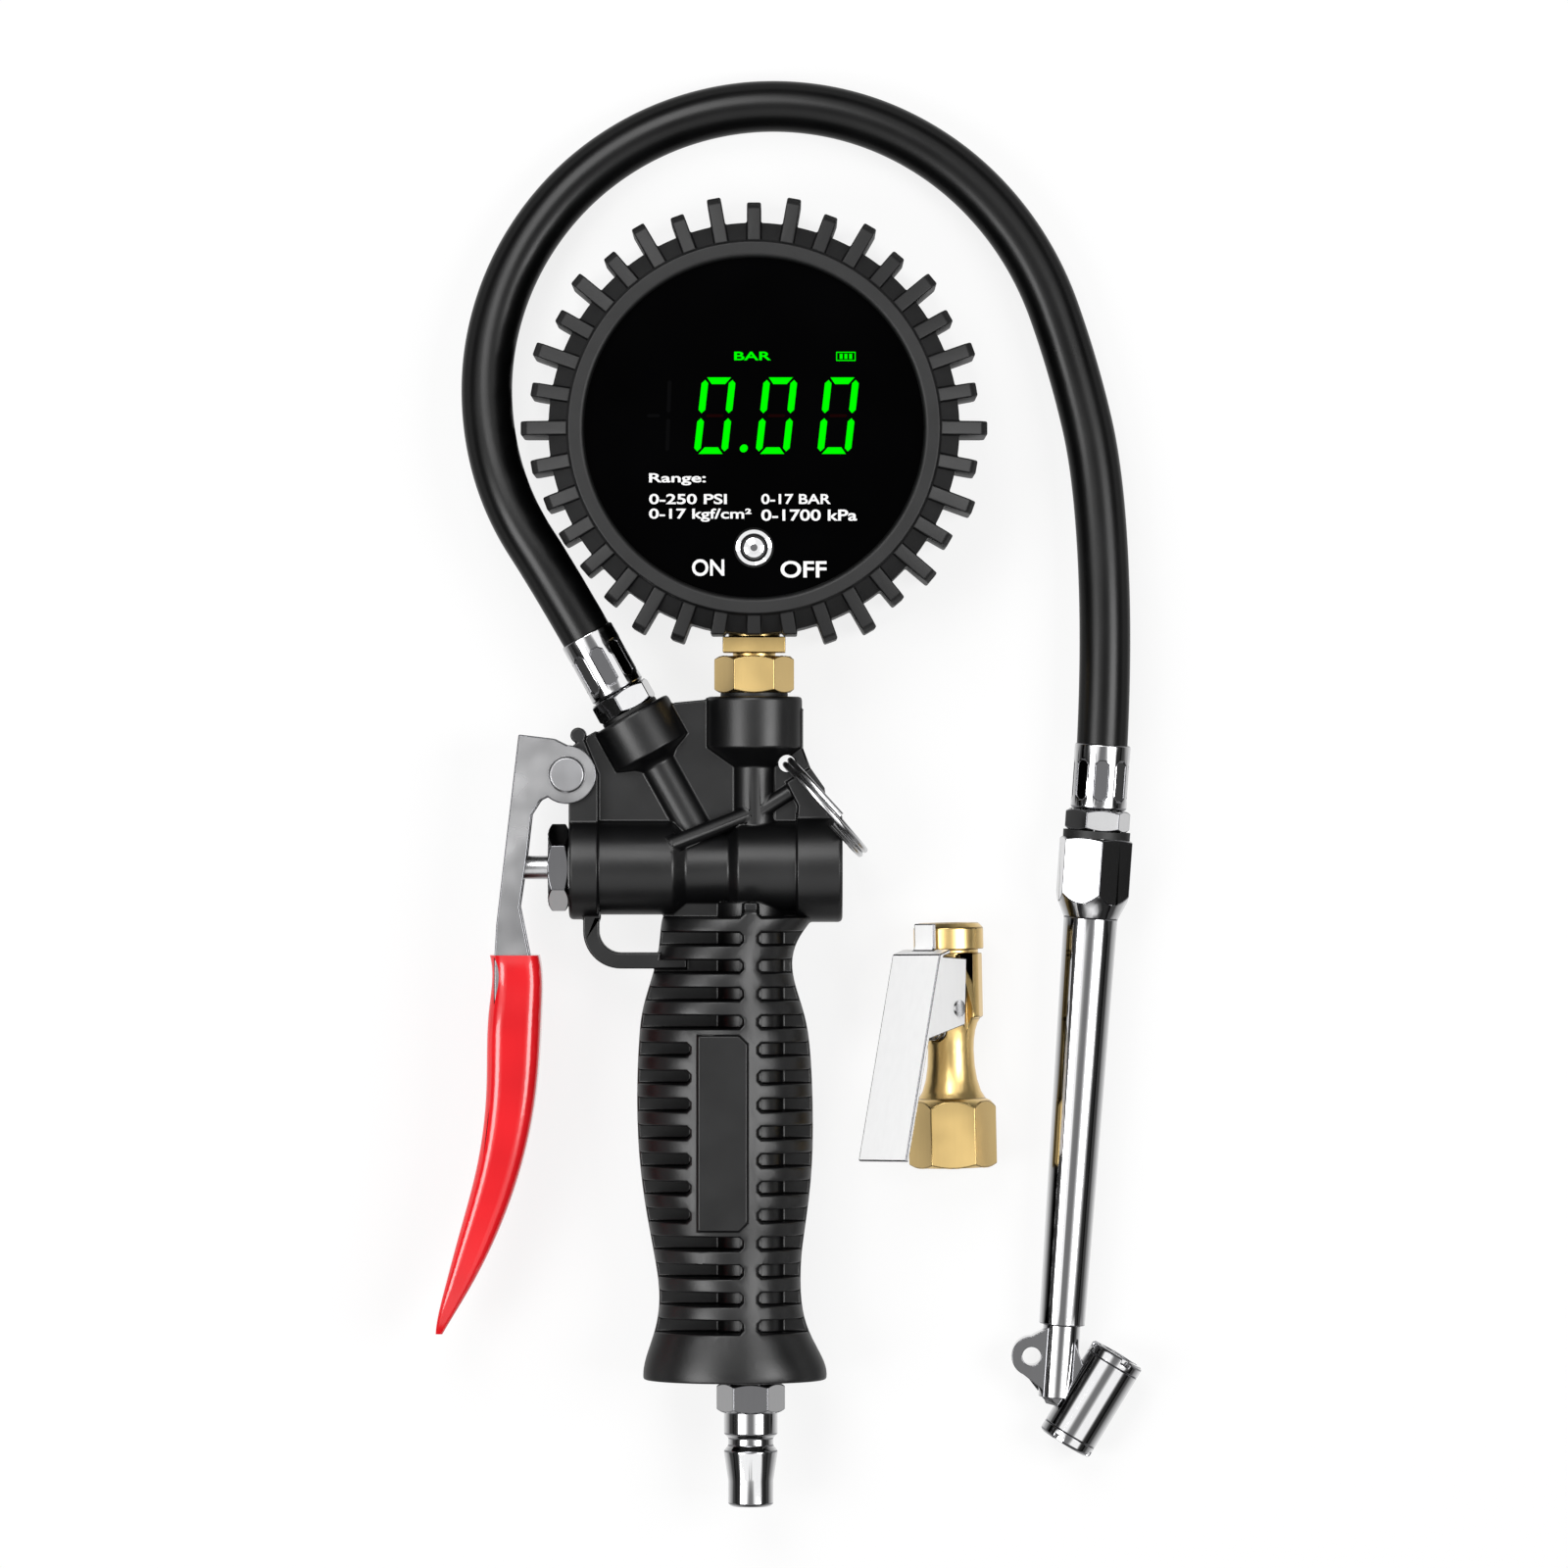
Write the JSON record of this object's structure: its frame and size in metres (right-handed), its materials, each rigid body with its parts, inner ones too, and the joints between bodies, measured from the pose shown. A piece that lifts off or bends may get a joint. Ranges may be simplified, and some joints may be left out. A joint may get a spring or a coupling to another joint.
{
  "type": "tyre inflator with gauge",
  "caption": "Hand-held tyre inflator gun with a digital pressure gauge in a finned boot, a trigger lever, a hose with an angled chuck and a loose clip-on chuck.",
  "frame": {"origin": "centre of the gauge boot's back face, on the surface that the tool lies on", "axes": "+Z is the gauge's axis, out of its display; +Y runs from the grip to the gauge; +X is to the display's right, towards the chuck"},
  "size_m": [0.166, 0.3354, 0.038],
  "materials": {
    "boot_rubber": "satin moulded rubber",
    "case_plastic": "fine matt texture",
    "cell_wrap": "printed steel can",
    "zinc_steel": "zinc plated",
    "circuit_board": "solder mask",
    "display_block": "gloss black",
    "lens_glass": "smoked gloss",
    "chrome": "bright plated",
    "brass": "turned brass",
    "seal_rubber": "matt",
    "gun_plastic": "matt moulded nylon",
    "filter_mesh": "sintered",
    "sleeve_red": "glossy soft vinyl",
    "hose_rubber": "satin extruded rubber"
  },
  "bodies": {
    "gun": {"gauge_boot": "boot_rubber", "gauge_case": "case_plastic", "battery_tray": "case_plastic", "battery_cover": "case_plastic", "battery_cells": "cell_wrap", "cover_screws": "zinc_steel", "board_screws": "zinc_steel", "button_spring": "zinc_steel", "valve_spring": "zinc_steel", "chuck_spring": "zinc_steel", "inlet_plug": "zinc_steel", "lever_pin": "zinc_steel", "tact_switch": "zinc_steel", "pressure_sensor": "zinc_steel", "gauge_board": "circuit_board", "display_module": "display_block", "gauge_lens": "lens_glass", "button_ring": "chrome", "hose_nipple_gun": "chrome", "hose_nipple_chuck": "chrome", "hose_ferrule_gun": "chrome", "hose_ferrule_chuck": "chrome", "chuck_stem": "chrome", "chuck_head": "chrome", "chuck_cap_top": "chrome", "chuck_cap_bottom": "chrome", "gland_nut": "chrome", "barrel_end_cap": "chrome", "gauge_stem": "brass", "gauge_nut": "brass", "valve_seat": "brass", "gauge_seal": "seal_rubber", "inlet_seal": "seal_rubber", "stem_seal": "seal_rubber", "hose_seal_gun": "seal_rubber", "hose_seal_chuck": "seal_rubber", "chuck_seal_top": "seal_rubber", "chuck_seal_bottom": "seal_rubber", "gun_body": "gun_plastic", "inlet_filter": "filter_mesh", "hose": "hose_rubber"},
    "lever": {"lever": "chrome", "lever_sleeve": "sleeve_red"},
    "stem": {"valve_stem": "zinc_steel", "valve_poppet": "seal_rubber"},
    "button": {"power_button": "chrome"},
    "plunger_top": {"chuck_plunger_top": "brass"},
    "plunger_bottom": {"chuck_plunger_bottom": "brass"},
    "key_ring": {"key_ring": "zinc_steel"},
    "clip_chuck": {"clip_chuck_body": "brass", "clip_chuck_pin": "chrome", "clip_chuck_seal": "seal_rubber", "clip_chuck_depressor": "brass", "clip_chuck_spring": "zinc_steel"},
    "clip_lever": {"clip_chuck_lever": "chrome"}
  },
  "joints": [
    {"name": "lever_pivot", "type": "hinge", "parent": "gun", "child": "lever", "pos_m": [-0.0438, -0.0807, 0.018], "axis": [0, 0, 1], "range_deg": [0, 10], "stiffness_Nm_per_rad": 1.5, "springref_deg": -5.73},
    {"name": "stem_slide", "type": "slide", "parent": "gun", "child": "stem", "axis": [1, 0, 0], "range_m": [0, 0.004], "deforming": ["valve_spring"]},
    {"name": "power_button_press", "type": "slide", "parent": "gun", "child": "button", "axis": [0, 0, -1], "range_m": [0, 0.0008], "stiffness_N_per_m": 1500, "springref_m": -0.0005, "deforming": ["button_spring"]},
    {"name": "plunger_top_press", "type": "slide", "parent": "gun", "child": "plunger_top", "axis": [-0.518, -0.8552, -0.0179], "range_m": [0, 0.0015], "stiffness_N_per_m": 1200, "springref_m": -0.0006, "deforming": ["chuck_spring"]},
    {"name": "plunger_bottom_press", "type": "slide", "parent": "gun", "child": "plunger_bottom", "axis": [0.518, 0.8552, 0.0179], "range_m": [0, 0.0015], "stiffness_N_per_m": 1200, "springref_m": -0.0006, "deforming": ["chuck_spring"]},
    {"name": "key_ring_swing", "type": "hinge", "parent": "gun", "child": "key_ring", "pos_m": [0.0077, -0.0781, 0.018], "axis": [0, 0, 1], "range_deg": [0, 75]},
    {"name": "clip_chuck_lift", "type": "slide", "parent": "gun", "child": "clip_chuck", "axis": [0, 0, 1], "range_m": [0, 0.06]},
    {"name": "clip_lever_pinch", "type": "hinge", "parent": "clip_chuck", "child": "clip_lever", "pos_m": [0.04242, -0.13569, 0.01373], "axis": [0.7878, 0.0165, 0.6157], "range_deg": [0, 14], "stiffness_Nm_per_rad": 0.4, "springref_deg": -11.46, "deforming": ["clip_chuck_spring"]}
  ],
  "couplings": [
    {"joint": "stem_slide", "follows": "lever_pivot", "m_per_rad": 0.0218}
  ]
}
